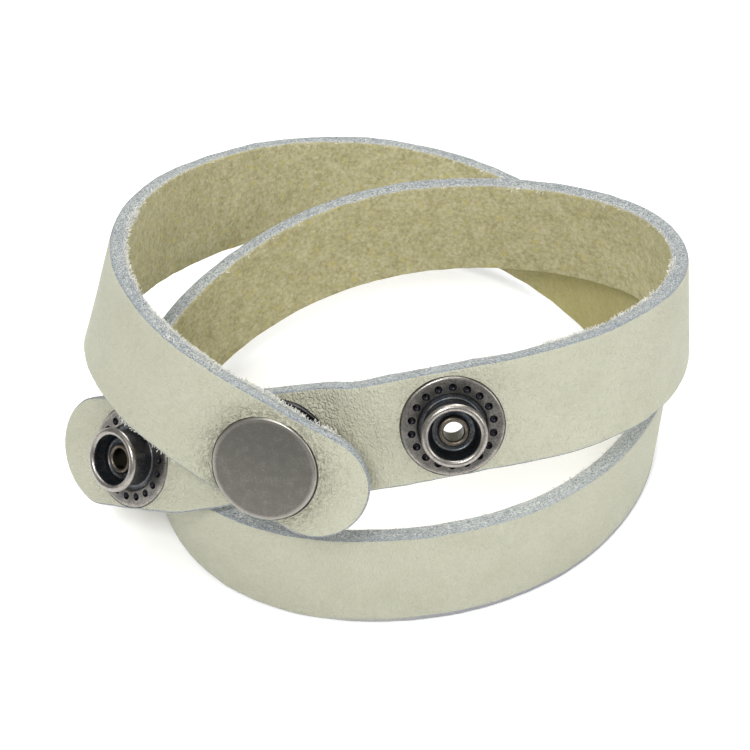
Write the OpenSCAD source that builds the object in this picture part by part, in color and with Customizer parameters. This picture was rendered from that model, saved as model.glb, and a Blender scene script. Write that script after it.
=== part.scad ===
// Double-wrap bracelet: one flat leather strap wound twice round the wrist and closed by a snap.
// Three studs stand on one end of the strap, so that the snap at the other end has three settings.

/* [Strap] */
// Width of the strap
strap_w = 13; // [12.9:0.1:13.2]
// Thickness of the leather
leather_t = 2.1; // [1.8:0.1:2.1]
// Bevel of the cut edges' corners
edge_bevel = 0.25; // [0.1:0.05:0.4]
// Length of strap past the middle of the outermost stud
stud_end_l = 12; // [11:0.5:12.5]
// Length of strap past the middle of the snap
snap_end_l = 12; // [11.5:0.5:12.5]

/* [Studs] */
// Distance between neighbouring studs along the strap
stud_pitch = 20; // [19:0.5:21]
// Distance by which the studs are set below the middle of the strap's width
stud_drop = 0.3; // [0:0.1:0.3]
// Diameter of a stud's flange
flange_d = 12; // [11.5:0.1:12.1]
// Thickness of a stud's flange
flange_t = 0.6; // [0.5:0.05:0.7]
// Number of round dimples in a stud's flange
dimples = 18; // [12:1:20]
// Outer diameter of the rolled rim on a stud's collar
rim_d = 7.6; // [7.2:0.1:7.8]
// Height of the collar over its flange
collar_h = 3.3; // [3:0.1:3.4]

/* [Snap] */
// Diameter of the cap
cap_d = 12.5; // [12:0.1:12.5]
// Thickness of the cap
cap_t = 0.9; // [0.7:0.1:1.1]
// Outer diameter of the socket behind the cap
socket_d = 11; // [10.5:0.1:11.5]
// Angle between the two ends of the strap where they cross at the snap
cross_angle = 38; // [36:1:39]
// Distance by which the snap is set below the middle of the strap's width
snap_drop = 1; // [0.6:0.1:1]

/* [Rivets] */
// Outer diameter of the rivet that holds a stud
rivet_d = 3.4; // [3.2:0.1:3.6]
// Diameter of the hole through the rivet
rivet_bore = 2.4; // [2:0.1:2.6]
// Diameter of the rivet's ring on the inside of the strap
ring_d = 8; // [7:0.5:9]

/* [Hidden] */
$fn = 64;

// Clearance round every metal piece
gap = 0.1;
// Depth by which metal plates are pressed into the leather
seat = 0.45;
// Free height between the two leather ends at the closed snap
snap_gap = 4.1;

// Route of the strap's middle line. The smooth curve is pulled by every row and starts at the studs' end.
// Columns: right, away, up, and the lean of the strap's top edge towards the wrist in degrees.
route = [
    [-56.5, -6,    8.5,   26],
    [-45.5, -6,    8,     26],
    [-36,   -9.5,  10,    27],
    [-28,   -16.5, 14.5,  31],
    [-19,   -22,   19.5,  31],
    [-8,    -22.5, 23,    22],
    [0,     -25.5, 26,    23],
    [11,    -24,   28,    25],
    [21,    -23,   29,    29],
    [32.5,  -16.5, 28,    25],
    [40,    -4,    25.5,  2],
    [37,    11,    22,    1],
    [24,    19.5,  19,    -3],
    [8,     23.5,  16,    -5],
    [-7,    21.5,  12.5,  -9],
    [-21,   11,    9,     -6],
    [-27,   -2.5,  7,     -11],
    [-22,   -19.5, 6.5,   -5],
    [-10,   -28.5, 6.5,   3],
    [7,     -29.5, 6.5,   9],
    [23,    -24,   6.5,   4],
    [34,    -12,   6.5,   0],
    [38.5,  3.5,   6.5,   -7],
    [32.5,  19.5,  7.5,   -13],
    [21,    32,    8,     -14],
    [6,     38,    10,    -12],
    [-10.5, 35,    12.5,  -17],
    [-22.5, 24,    17,    -12],
    [-28.5, 9.5,   23.5,  -3],
    [-31.5, -7,    30,    24],
];
// Place of the middle stud, counted in rows
mid_u = 4;
// Length of route between the straight rows that carry the snap
tail_step = 16;
// Distance by which the rows past the snap are drawn towards the wrist, so that the strap's tip bends inward
tip_pull = 22;

// Weights of four neighbouring rows at the fraction t of the way along them, and their rate of change
function pull(t) = [(1 - t) ^ 3, 3 * t ^ 3 - 6 * t ^ 2 + 4, 1 + 3 * t + 3 * t ^ 2 - 3 * t ^ 3, t ^ 3] / 6;
function pull_rate(t) = [-(1 - t) ^ 2, 3 * t ^ 2 - 4 * t, 1 + 2 * t - 3 * t ^ 2, t ^ 2] / 2;
function four(rows, k) = [for (i = [k : k + 3]) rows[i]];
function along(rows, u) = pull(u - floor(u)) * four(rows, floor(u));
function rate(rows, u) = pull_rate(u - floor(u)) * four(rows, floor(u));
function spot(v) = [v.x, v.y, v.z];
function unit(v) = v / norm(v);

// Direction across a strap that runs along h and stands straight, and the same leaning by an angle
function straight_up(h) = unit([0, 0, 1] - h.z * h);
function across(h, lean) = cos(lean) * straight_up(h) - sin(lean) * cross(h, straight_up(h));
function lean_of(h, out) = atan2(-cross(out, h) * cross(h, straight_up(h)), cross(out, h) * straight_up(h));

// Frame at a place on the strap: middle point, direction along it, direction across it, and outward
function frame_from(p, h, w) = [p, h, w, cross(h, w)];
function frame_on(rows, u) = let (h = unit(spot(rate(rows, u))))
    frame_from(spot(along(rows, u)), h, across(h, along(rows, u)[3]));

// The snap's end lies flat over the middle stud, turned by the crossing angle, and its tip bends inward
function lowered(f, d) = [f[0] - d * f[2], f[1], f[2], f[3]];
mid = lowered(frame_on(route, mid_u), stud_drop);
snap_dir = cos(cross_angle) * mid[1] - sin(cross_angle) * mid[2];
snap_frame = frame_from(mid[0] + mid[3] * (leather_t + snap_gap), snap_dir, cross(mid[3], snap_dir));
snap_lean = lean_of(snap_dir, mid[3]);
tail_at = snap_frame[0] + snap_drop * snap_frame[2];
tail = [for (i = [-1 : 3])
    concat(tail_at + i * tail_step * snap_dir - (i > 1 ? tip_pull : 0) * mid[3], [snap_lean])];
rows = concat(route, tail);
snap_u = len(route);

// Length along the curve, measured in short steps
u_step = 1 / 16;
u_list = [for (u = [0 : u_step : snap_u + 1]) u];
dots = [for (u = u_list) spot(along(rows, min(u, snap_u + 0.999)))];
last = len(dots) - 1;
lengths = [for (i = 0, s = 0; i <= last; s = s + (i < last ? norm(dots[i + 1] - dots[i]) : 0), i = i + 1) s];
length_of_u = [for (i = [0 : last]) [u_list[i], lengths[i]]];
u_of_length = [for (i = [0 : last]) [lengths[i], u_list[i]]];
mid_s = lookup(mid_u, length_of_u);
snap_s = lookup(snap_u, length_of_u);
start_s = mid_s - stud_pitch - stud_end_l;
end_s = snap_s + snap_end_l;
strap_l = end_s - start_s;

// Distances from the strap's start at which its section is drawn: close at the round ends, then even
round_r = strap_w / 2;
end_turns = [6, 16, 27, 38, 50, 62, 76, 90];
even_step = 2.5;
even_n = round((strap_l - strap_w) / even_step);
start_cuts = [for (a = end_turns) round_r * (1 - cos(a))];
even_cuts = [for (i = [1 : even_n - 1]) round_r + i * (strap_l - strap_w) / even_n];
end_cuts = [for (i = [len(end_turns) - 1 : -1 : 0]) strap_l - start_cuts[i]];
cuts = concat(start_cuts, even_cuts, end_cuts);
function from_end(s) = min(s, strap_l - s);
function half_w(s) = from_end(s) < round_r ? sqrt(round_r ^ 2 - (round_r - from_end(s)) ^ 2) : round_r;

// Section across the strap: a flat bar with bevelled corners, drawn outside face first
function section(half, t) = [
    [half - edge_bevel, t], [half, t - edge_bevel], [half, edge_bevel - t], [half - edge_bevel, -t],
    [edge_bevel - half, -t], [-half, edge_bevel - t], [-half, t - edge_bevel], [edge_bevel - half, t],
];
corners = 8;
function frame_at(s) = frame_on(rows, lookup(start_s + s, u_of_length));
function ring_at(s) = let (f = frame_at(s))
    [for (c = section(half_w(s), leather_t / 2)) f[0] + c.x * f[2] + c.y * f[3]];
rings = [for (s = cuts) each ring_at(s)];
ring_n = len(cuts);

// The bracelet's origin is the middle of its footprint on the surface that it stands on
low = [for (i = [0 : 2]) min([for (p = rings) p[i]])];
high = [for (i = [0 : 2]) max([for (p = rings) p[i]])];
home = -[(low.x + high.x) / 2, (low.y + high.y) / 2, low.z];

// Frames of the three studs
stud_frames = [for (i = [-1 : 1]) lowered(frame_at(mid_s - start_s + i * stud_pitch), stud_drop)];

// Puts a piece on the strap's outer face, with its own Z pointing outward
module on_face(f) {
    h = f[1];
    w = f[2];
    n = f[3];
    p = f[0] + home;
    multmatrix([[h.x, w.x, n.x, p.x], [h.y, w.y, n.y, p.y], [h.z, w.z, n.z, p.z]]) children();
}

// Round piece turned from its half outline of radius and height points
module turned(outline) rotate_extrude() polygon(outline);

// Hole through the strap with a flat seat on each face
module seat_cut(d_out, d_in, d_hole) {
    depth = 5;
    translate([0, 0, leather_t / 2 - seat]) cylinder(d = d_out, h = depth);
    translate([0, 0, -leather_t / 2 + seat / 2 - depth]) cylinder(d = d_in, h = depth);
    cylinder(d = d_hole, h = 2 * depth, center = true);
}

module strap() color([0.81, 0.81, 0.72]) difference() {
    translate(home) polyhedron(
        points = rings,
        faces = concat(
            [[for (j = [corners - 1 : -1 : 0]) j]],
            [for (i = [0 : ring_n - 2], j = [0 : corners - 1])
                let (a = i * corners + j, b = i * corners + (j + 1) % corners)
                each [[a, b, b + corners], [a, b + corners, a + corners]]],
            [[for (j = [0 : corners - 1]) (ring_n - 1) * corners + j]]
        )
    );
    for (f = stud_frames) on_face(f) seat_cut(flange_d + 2 * gap, ring_d + 2 * gap, rivet_d + 2 * gap);
    on_face(snap_frame) seat_cut(cap_d + 2 * gap, socket_d + 2 * gap, rivet_d + 2 * gap);
}

// Height of the floor inside a stud's collar over its flange
floor_h = 1.1;
// Levels over the strap's middle, in the frame of the stud or snap
skin_z = leather_t / 2;
suede_z = -leather_t / 2;
plate_z = skin_z - seat + gap / 2;
back_z = suede_z + seat / 2 - gap / 2;
face_z = plate_z + flange_t;
floor_z = face_z + floor_h;
rim_z = face_z + collar_h;
hole_r = rivet_d / 2 + gap;
// Thickness of drawn sheet metal, and radius of its rolled hem
sheet_t = 0.45;
hem_r = 0.45;

// Round stretch of an outline about a centre, from one angle to another
function arc(c, r, from, to) = [for (i = [0 : 4])
    let (a = from + i * (to - from) / 4) c + r * [cos(a), sin(a)]];

// Stud: a dimpled flange with a drawn collar whose rim is rolled outward
module stud(f) color([0.36, 0.35, 0.33]) on_face(f) difference() {
    edge_r = flange_t / 2;
    step_r = 4;
    step_h = 0.2;
    neck_r = rim_d / 2 - 0.55;
    cup_r = neck_r - sheet_t;
    dimple_d = 1;
    dimple_r = flange_d * 0.39;
    dimple_z = face_z + 0.2;
    turned(concat(
        [[hole_r, plate_z]],
        arc([flange_d / 2 - edge_r, plate_z + edge_r], edge_r, -90, 90),
        [[step_r, face_z], [step_r - step_h, face_z - step_h], [neck_r, face_z - step_h]],
        arc([rim_d / 2 - hem_r, rim_z - hem_r], hem_r, -60, 180),
        [[cup_r, rim_z - 2 * hem_r], [cup_r, floor_z], [hole_r, floor_z]]
    ));
    for (i = [0 : dimples - 1]) rotate(i * 360 / dimples) translate([dimple_r, 0, dimple_z])
        sphere(d = dimple_d, $fn = 24);
}

// Rivet: a ring on the suede side and a tube through strap and stud, rolled over inside the collar
module rivet(f) color([0.45, 0.42, 0.38]) on_face(f) {
    ring_t = 0.5;
    tube_r = rivet_d / 2;
    bore_r = rivet_bore / 2;
    curl_r = 0.3;
    curl_z = floor_z + gap + curl_r;
    turned(concat(
        [[bore_r, back_z - ring_t]],
        arc([ring_d / 2 - ring_t / 2, back_z - ring_t / 2], ring_t / 2, -90, 90),
        [[tube_r, back_z], [tube_r, curl_z - curl_r]],
        arc([tube_r, curl_z], curl_r, -90, 90),
        [[bore_r + 0.1, curl_z + curl_r], [bore_r, curl_z + curl_r - 0.1]]
    ));
}

// Plate of the socket against the leather, and the head that the cap's post is spread to under it
lid_t = 0.4;
lid_z = back_z - lid_t;
head_r = hole_r + 0.7;
head_t = 0.4;
head_z = lid_z - gap - head_t / 2;

// Cap: a flat disc on the grain side, with a post through the strap that is spread inside the socket
module snap_cap() color([0.45, 0.43, 0.41]) on_face(snap_frame) {
    bend_r = cap_t / 2;
    post_r = rivet_d / 2;
    turned(concat(
        [[0, head_z - head_t / 2]],
        arc([head_r - head_t / 2, head_z], head_t / 2, -90, 90),
        [[post_r, head_z + head_t / 2], [post_r, plate_z]],
        arc([cap_d / 2 - bend_r, plate_z + bend_r], bend_r, -90, 90),
        [[0, plate_z + cap_t]]
    ));
}

// Socket: a cup on the suede side that closes over the middle stud's collar
module snap_socket() color([0.40, 0.39, 0.37]) on_face(snap_frame) {
    stud_face_z = face_z - leather_t - snap_gap;
    foot_z = stud_face_z + 3 * gap;
    mouth_r = rim_d / 2 + 2 * gap;
    cup_r = socket_d / 2;
    lip_r = 0.4;
    turned(concat(
        [[hole_r, lid_z], [mouth_r, lid_z], [mouth_r, foot_z + lip_r]],
        arc([mouth_r + lip_r, foot_z + lip_r], lip_r, 180, 270),
        arc([cup_r - 2 * lip_r, foot_z + lip_r], lip_r, -90, 0),
        [[cup_r, back_z - lid_t]],
        arc([cup_r - lid_t / 2, back_z - lid_t / 2], lid_t / 2, 0, 90),
        [[hole_r, back_z]]
    ));
}

module stud_1() stud(stud_frames[0]);
module stud_2() stud(stud_frames[1]);
module stud_3() stud(stud_frames[2]);
module rivet_1() rivet(stud_frames[0]);
module rivet_2() rivet(stud_frames[1]);
module rivet_3() rivet(stud_frames[2]);

strap();
snap_cap();
snap_socket();
stud_1();
stud_2();
stud_3();
rivet_1();
rivet_2();
rivet_3();
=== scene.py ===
import math

import bmesh
import bpy
import numpy as np
from mathutils import Matrix, Vector


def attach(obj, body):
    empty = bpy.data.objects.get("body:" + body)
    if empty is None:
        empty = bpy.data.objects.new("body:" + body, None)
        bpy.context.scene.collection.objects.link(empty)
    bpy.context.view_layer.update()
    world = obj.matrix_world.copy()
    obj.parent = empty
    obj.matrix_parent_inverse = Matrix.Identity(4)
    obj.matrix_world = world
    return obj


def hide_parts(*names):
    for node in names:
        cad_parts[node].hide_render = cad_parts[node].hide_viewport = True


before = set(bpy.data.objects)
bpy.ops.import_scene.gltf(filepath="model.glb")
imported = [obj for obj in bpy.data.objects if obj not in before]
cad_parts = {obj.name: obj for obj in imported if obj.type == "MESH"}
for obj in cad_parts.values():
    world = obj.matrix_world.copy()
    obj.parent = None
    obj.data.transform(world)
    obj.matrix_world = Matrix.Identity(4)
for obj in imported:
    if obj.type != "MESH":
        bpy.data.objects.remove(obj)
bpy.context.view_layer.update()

# Camera
# It looks down over the front of the bracelet at the photograph's angle, with the snap in front.
# The bracelet fills the picture as it does there.
MM = 0.001
camera_aim = Vector((-0.231, -2.565, 11.419)) * MM
camera_rise = math.radians(44.471)
camera_reach = 365.76 * MM
camera_data = bpy.data.cameras.new("camera")
camera_data.sensor_width = 36
camera_data.lens = 142.51
camera_data.clip_start = 0.01
camera = bpy.data.objects.new("camera", camera_data)
camera.location = camera_aim + camera_reach * Vector((0, -math.cos(camera_rise), math.sin(camera_rise)))
camera.rotation_euler = (math.pi / 2 - camera_rise, 0, 0)
bpy.context.scene.collection.objects.link(camera)
bpy.context.scene.camera = camera

# Strap
# One flat strip of cream leather, punched for the snap parts and cut with two round ends, its grain
# side out and its suede side in. It is wound twice round the wrist and holds that shape.
strap_w = 13.0
leather_t = 2.1
round_r = strap_w / 2
stud_pitch = 20.0
stud_end_l = 12.0
snap_end_l = 12.0
stud_drop = 0.3
snap_drop = 1.0
snap_gap = 4.1
cross_angle = math.radians(38)
tail_step = 16.0
tip_pull = 22.0
# From the route's own origin to the middle of the bracelet's footprint on the surface
home = np.array([-2.17142, -2.56501, 0.0490389])
# Right, away, up, and the lean of the strap's top edge towards the wrist in degrees
route = np.array([
    [-56.5, -6, 8.5, 26], [-45.5, -6, 8, 26], [-36, -9.5, 10, 27], [-28, -16.5, 14.5, 31],
    [-19, -22, 19.5, 31], [-8, -22.5, 23, 22], [0, -25.5, 26, 23], [11, -24, 28, 25],
    [21, -23, 29, 29], [32.5, -16.5, 28, 25], [40, -4, 25.5, 2], [37, 11, 22, 1],
    [24, 19.5, 19, -3], [8, 23.5, 16, -5], [-7, 21.5, 12.5, -9], [-21, 11, 9, -6],
    [-27, -2.5, 7, -11], [-22, -19.5, 6.5, -5], [-10, -28.5, 6.5, 3], [7, -29.5, 6.5, 9],
    [23, -24, 6.5, 4], [34, -12, 6.5, 0], [38.5, 3.5, 6.5, -7], [32.5, 19.5, 7.5, -13],
    [21, 32, 8, -14], [6, 38, 10, -12], [-10.5, 35, 12.5, -17], [-22.5, 24, 17, -12],
    [-28.5, 9.5, 23.5, -3], [-31.5, -7, 30, 24],
])
mid_u = 4.0
snap_u = float(len(route))


def unit(v):
    return v / np.linalg.norm(v, axis=-1, keepdims=True)


def pull(t):
    """How hard the four rows round a place pull on it, from one row at t = 0 to the next at t = 1."""
    third = 1 + 3 * t + 3 * t ** 2 - 3 * t ** 3
    return np.stack([(1 - t) ** 3, 3 * t ** 3 - 6 * t ** 2 + 4, third, t ** 3], -1) / 6


def pull_rate(t):
    """How fast each pull changes with t."""
    return np.stack([-(1 - t) ** 2, 3 * t ** 2 - 4 * t, 1 + 2 * t - 3 * t ** 2, t ** 2], -1) / 2


def along(rows, u, weights=pull):
    """The smooth curve that four neighbouring rows pull, at the places u counted in rows."""
    u = np.atleast_1d(u)
    first = np.floor(u).astype(int)
    pulled = weights(u - first)
    return sum(pulled[:, j:j + 1] * rows[first + j] for j in range(4))


def straight_up(heading):
    """The most upright direction square to the heading."""
    return unit(np.array([0, 0, 1.0]) - heading[:, 2:3] * heading)


def strap_frames(rows, u):
    """Middle point, heading, direction across and outward at the places u."""
    p = along(rows, u)
    heading = unit(along(rows, u, pull_rate)[:, :3])
    lean = np.radians(p[:, 3:4])
    up = straight_up(heading)
    across = np.cos(lean) * up - np.sin(lean) * np.cross(heading, up)
    return p[:, :3], heading, across, np.cross(heading, across)


# The snap end crosses over the middle stud, and the last rows bend away behind it
mid_place, mid_heading, mid_across, mid_outward = (v[0] for v in strap_frames(route, mid_u))
mid_place = mid_place - stud_drop * mid_across
snap_heading = math.cos(cross_angle) * mid_heading - math.sin(cross_angle) * mid_across
snap_across = np.cross(mid_outward, snap_heading)
snap_place = mid_place + mid_outward * (leather_t + snap_gap)
snap_up = straight_up(snap_heading[None])[0]
snap_lean = math.degrees(math.atan2(-snap_across @ np.cross(snap_heading, snap_up), snap_across @ snap_up))
tail_place = snap_place + snap_drop * snap_across
tail = [
    [*(tail_place + i * tail_step * snap_heading - (tip_pull if i > 1 else 0) * mid_outward), snap_lean]
    for i in range(-1, 4)
]
rows = np.vstack([route, tail])

u_list = np.arange(0, snap_u + 1, 1 / 16)
dots = along(rows, u_list)[:, :3]
lengths = np.concatenate([[0], np.cumsum(np.linalg.norm(np.diff(dots, axis=0), axis=1))])
mid_s = np.interp(mid_u, u_list, lengths)
start_s = mid_s - stud_pitch - stud_end_l
snap_s = np.interp(snap_u, u_list, lengths) - start_s
strap_l = snap_s + snap_end_l
stud_s = [stud_end_l + i * stud_pitch for i in range(3)]


def frames_at(s):
    """The strap's frames at lengths counted from its stud end."""
    return strap_frames(rows, np.interp(start_s + np.asarray(s, float), lengths, u_list))


# The route as even stations along the strap, straightened for a few millimetres under each stiff stud
station_step = 0.25
stations = np.arange(0, strap_l + station_step, station_step)
place, heading, across, outward = frames_at(stations)
stud_middles = [tuple(v[0] for v in frames_at([s])) for s in stud_s]
stud_frames = [(p - stud_drop * w, h, w, n) for p, h, w, n in stud_middles]
snap_frame = (snap_place, snap_heading, snap_across, mid_outward)
flat_reach, bend_reach = 6.0, 9.5
for s, (p, h, w, n) in zip(stud_s, stud_middles):
    away = (stations - s)[:, None]
    hold = np.clip((bend_reach - abs(away)) / (bend_reach - flat_reach), 0, 1)
    hold = hold * hold * (3 - 2 * hold)
    place = place + hold * (p + away * h - place)
    across = unit(across + hold * (w - across))
    outward = unit(outward + hold * (n - outward))


def new_mesh(name, points, faces):
    mesh = bpy.data.meshes.new(name)
    mesh.from_pydata([tuple(p) for p in points], [], [tuple(f) for f in faces])
    mesh.update()
    return mesh


def new_object(name, mesh):
    piece = bpy.data.objects.new(name, mesh)
    bpy.context.scene.collection.objects.link(piece)
    return piece


def point_values(mesh, name, kind, values):
    """Store one number or vector for each point of the mesh."""
    field = "vector" if kind == "FLOAT_VECTOR" else "value"
    mesh.attributes.new(name, kind, "POINT").data.foreach_set(field, np.ravel(values))


route_mesh = new_mesh("strap_route", (place + home) * MM, [])
point_values(route_mesh, "across", "FLOAT_VECTOR", across)
point_values(route_mesh, "outward", "FLOAT_VECTOR", outward)
route_points = new_object("strap_route", route_mesh)

# The strip as it is cut flat: along x from 0, across y, thickness z with the grain side up
row_step = 0.42
tip_turns = np.radians(np.linspace(0, 90, 27))
straight_n = round((strap_l - strap_w) / row_step)
tip = [(round_r, a) for a in tip_turns]
straight = [(round_r + (strap_l - strap_w) * i / straight_n, math.pi / 2) for i in range(1, straight_n)]
far_tip = [(strap_l - round_r, math.pi - a) for a in tip_turns[::-1]]
# Profile of the cut edge from the grain face to the suede face: distance in from the edge, and height
skin = leather_t / 2
edge_profile = [
    (1.1, skin), (0.7, skin), (0.45, skin - 0.01), (0.27, skin - 0.06), (0.12, skin - 0.17),
    (0.03, skin - 0.34), (0, 0.4), (0, 0.1), (0, -0.2), (0, -0.5), (0.02, 0.22 - skin),
    (0.09, 0.08 - skin), (0.22, 0.01 - skin), (0.45, -skin), (0.9, -skin),
]
grain_cells, suede_cells = 26, 22
strip_points = []
for centre, turn in tip + straight + far_tip:
    out_x, out_y = -math.cos(turn), math.sin(turn)
    side = [(centre + out_x * (round_r - d), out_y * (round_r - d), z) for d, z in edge_profile]
    top_x, top_y, top_z = side[0]
    back_x, back_y, back_z = side[-1]
    strip_points += [(top_x, top_y * (2 * i / grain_cells - 1), top_z) for i in range(grain_cells)]
    strip_points += side
    strip_points += [(back_x, back_y * (1 - 2 * i / suede_cells), back_z) for i in range(1, suede_cells)]
    strip_points += [(x, -y, z) for x, y, z in side[::-1]][:-1]
ring = grain_cells + 2 * len(edge_profile) + suede_cells - 2
ring_n = len(strip_points) // ring
strip_faces = [
    (a * ring + b, (a + 1) * ring + b, (a + 1) * ring + (b + 1) % ring, a * ring + (b + 1) % ring)
    for a in range(ring_n - 1) for b in range(ring)
]
strip_mesh = new_mesh("strap_strip", np.array(strip_points) * MM, strip_faces)


def weld(mesh):
    """Close poles and seams and turn the faces outward."""
    distance = 1e-7
    shell = bmesh.new()
    shell.from_mesh(mesh)
    bmesh.ops.remove_doubles(shell, verts=shell.verts, dist=distance)
    bmesh.ops.dissolve_degenerate(shell, edges=shell.edges, dist=distance)
    bmesh.ops.recalc_face_normals(shell, faces=shell.faces)
    if shell.calc_volume(signed=True) < 0:
        bmesh.ops.reverse_faces(shell, faces=shell.faces)
    shell.to_mesh(mesh)
    shell.free()
    mesh.update()
    return mesh


def turned(name, outline, sides=96, marks=None):
    """A round piece turned from its half outline of radius and height points, in millimetres."""
    outline = np.array(outline, float)
    n = len(outline)
    angles = np.arange(sides) * 2 * math.pi / sides
    points = [(r * math.cos(a), r * math.sin(a), z) for a in angles for r, z in outline]
    faces = [
        (a * n + b, ((a + 1) % sides) * n + b, ((a + 1) % sides) * n + (b + 1) % n, a * n + (b + 1) % n)
        for a in range(sides) for b in range(n)
    ]
    mesh = new_mesh(name, np.array(points) * MM, faces)
    for key, values in (marks or {}).items():
        point_values(mesh, key, "FLOAT", np.tile(values, sides))
    return weld(mesh)


# Punches: the seat of the metal on each face and the hole between them, for a flange and a ring at the
# studs and for the cap and its cup at the snap
flange_r, ring_r = 6.0, 4.0
cap_r, cup_r = 6.25, 5.5
hole_r = 1.8
air = 0.05
seat_depth = 0.45
back_depth = seat_depth / 2


def punch(name, s, v, grain_r, suede_r):
    """A punch at length s and v across, for metal of the two radii."""
    far = 3.0
    grain_r, suede_r = grain_r + air, suede_r + air
    seat_z, ring_z = skin - seat_depth, back_depth - skin
    mesh = turned(name, [
        (0, far), (grain_r, far), (grain_r, seat_z), (hole_r, seat_z),
        (hole_r, ring_z), (suede_r, ring_z), (suede_r, -far), (0, -far),
    ], sides=80)
    mesh.transform(Matrix.Translation(Vector((s, v, 0)) * MM))
    return mesh


punch_shell = bmesh.new()
for s in stud_s:
    punch_shell.from_mesh(punch("stud_punch", s, -stud_drop, flange_r, ring_r))
punch_shell.from_mesh(punch("snap_punch", snap_s, -snap_drop, cap_r, cup_r))
punch_mesh = bpy.data.meshes.new("punches")
punch_shell.to_mesh(punch_mesh)
punch_shell.free()
punches = new_object("punches", punch_mesh)


def plug(tree, socket, value):
    """Link a socket to another one, or set it to a plain value."""
    if isinstance(value, bpy.types.NodeSocket):
        tree.links.new(value, socket)
    else:
        socket.default_value = value


def add(tree, kind, inputs=None, **settings):
    """Add a node with its settings, and plug its inputs by name or number."""
    node = tree.nodes.new(kind)
    for key, value in settings.items():
        setattr(node, key, value)
    for key, value in (inputs or {}).items():
        plug(tree, node.inputs[key], value)
    return node


def calc(tree, operation, a, b=0.0):
    return add(tree, "ShaderNodeMath", {0: a, 1: b}, operation=operation).outputs[0]


def times(tree, first, *others):
    """The product of several values."""
    for other in others:
        first = calc(tree, "MULTIPLY", first, other)
    return first


def vector_calc(tree, operation, a, b):
    node = add(tree, "ShaderNodeVectorMath", {0: a}, operation=operation)
    plug(tree, node.inputs["Scale" if operation == "SCALE" else 1], b)
    return node.outputs["Vector"]


def shape_tree(name, sizes):
    """A geometry tree with a shape going in and out and its sizes as named inputs."""
    tree = bpy.data.node_groups.new(name, "GeometryNodeTree")
    tree.is_modifier = True
    tree.interface.new_socket("Geometry", in_out="INPUT", socket_type="NodeSocketGeometry")
    for label, (kind, value) in sizes.items():
        socket = tree.interface.new_socket(label, in_out="INPUT", socket_type="NodeSocket" + kind)
        if value is not None:
            socket.default_value = value
    tree.interface.new_socket("Geometry", in_out="OUTPUT", socket_type="NodeSocketGeometry")
    return tree, add(tree, "NodeGroupInput").outputs, add(tree, "NodeGroupOutput").inputs["Geometry"]


def stored(tree, label, kind="FLOAT_VECTOR"):
    """A value that the shape in a geometry tree carries under a name."""
    return add(tree, "GeometryNodeInputNamedAttribute", {"Name": label}, data_type=kind).outputs["Attribute"]


def store(tree, shape, label, value, kind="FLOAT", domain="POINT", only=True):
    """The shape with a value kept on it under a name."""
    return add(tree, "GeometryNodeStoreNamedAttribute", {
        "Geometry": shape, "Selection": only, "Name": label, "Value": value,
    }, data_type=kind, domain=domain).outputs["Geometry"]


def shaped(name, mesh, tree, values):
    """The plain mesh that a geometry tree makes of a mesh, with the tree's named inputs set first."""
    worked = new_object(name + "_worked", mesh)
    modifier = worked.modifiers.new(tree.name, "NODES")
    modifier.node_group = tree
    for item in tree.interface.items_tree:
        if item.in_out == "INPUT" and item.name in values:
            modifier[item.identifier] = values[item.name]
    worked.update_tag()
    view = bpy.context.evaluated_depsgraph_get()
    result = bpy.data.meshes.new_from_object(worked.evaluated_get(view), depsgraph=view)
    result.name = name
    worked.modifiers.remove(modifier)
    bpy.data.objects.remove(worked)
    return result


def smooth(mesh, crease=38):
    """Shade a mesh smooth but for its edges sharper than an angle in degrees."""
    mesh.shade_smooth()
    mesh.set_sharp_from_angle(angle=math.radians(crease))


def paint(r, g, b):
    """A colour from its usual 0 to 255 values."""
    shares = [v / 255 for v in (r, g, b)]
    return (*(v / 12.92 if v < 0.0404 else ((v + 0.055) / 1.055) ** 2.4 for v in shares), 1)


def colour_mix(tree, factor, a, b):
    return add(tree, "ShaderNodeMix", {0: factor, 6: a, 7: b}, data_type="RGBA").outputs[2]


def ramp(tree, value, low, high, to_low=0.0, to_high=1.0):
    """A value led evenly from one range to another, and held at its ends."""
    return add(tree, "ShaderNodeMapRange", {"Value": value, "From Min": low, "From Max": high,
                                            "To Min": to_low, "To Max": to_high}).outputs["Result"]


def noise(tree, place, scale, detail=2.0, rough=0.5, twist=0.0):
    return add(tree, "ShaderNodeTexNoise", {"Vector": place, "Scale": scale, "Detail": detail,
                                            "Roughness": rough, "Distortion": twist}).outputs["Fac"]


def look_group(name, inputs, outputs):
    """A shader group for an effect that several materials share."""
    tree = bpy.data.node_groups.new(name, "ShaderNodeTree")
    for label, (kind, value) in inputs.items():
        socket = tree.interface.new_socket(label, in_out="INPUT", socket_type="NodeSocket" + kind)
        socket.default_value = value
    for label, kind in outputs.items():
        tree.interface.new_socket(label, in_out="OUTPUT", socket_type="NodeSocket" + kind)
    return tree, add(tree, "NodeGroupInput").outputs, add(tree, "NodeGroupOutput").inputs


def shared(tree, group, inputs):
    """Place a shared effect in a material with its own values."""
    return add(tree, "ShaderNodeGroup", inputs, node_tree=group).outputs


def mark(tree, label):
    """A number that the mesh carries under a name, for a material."""
    return add(tree, "ShaderNodeAttribute", attribute_name=label).outputs["Fac"]


def new_material(name, **constants):
    material = bpy.data.materials.new(name)
    material.use_nodes = True
    tree = material.node_tree
    shader = next(n for n in tree.nodes if n.type == "BSDF_PRINCIPLED")
    for key, value in constants.items():
        shader.inputs[key.replace("_", " ")].default_value = value
    return material, tree, shader.inputs


def bumped(tree, height, strength, depth):
    inputs = {"Height": height, "Strength": strength, "Distance": depth}
    return add(tree, "ShaderNodeBump", inputs).outputs["Normal"]


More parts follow.
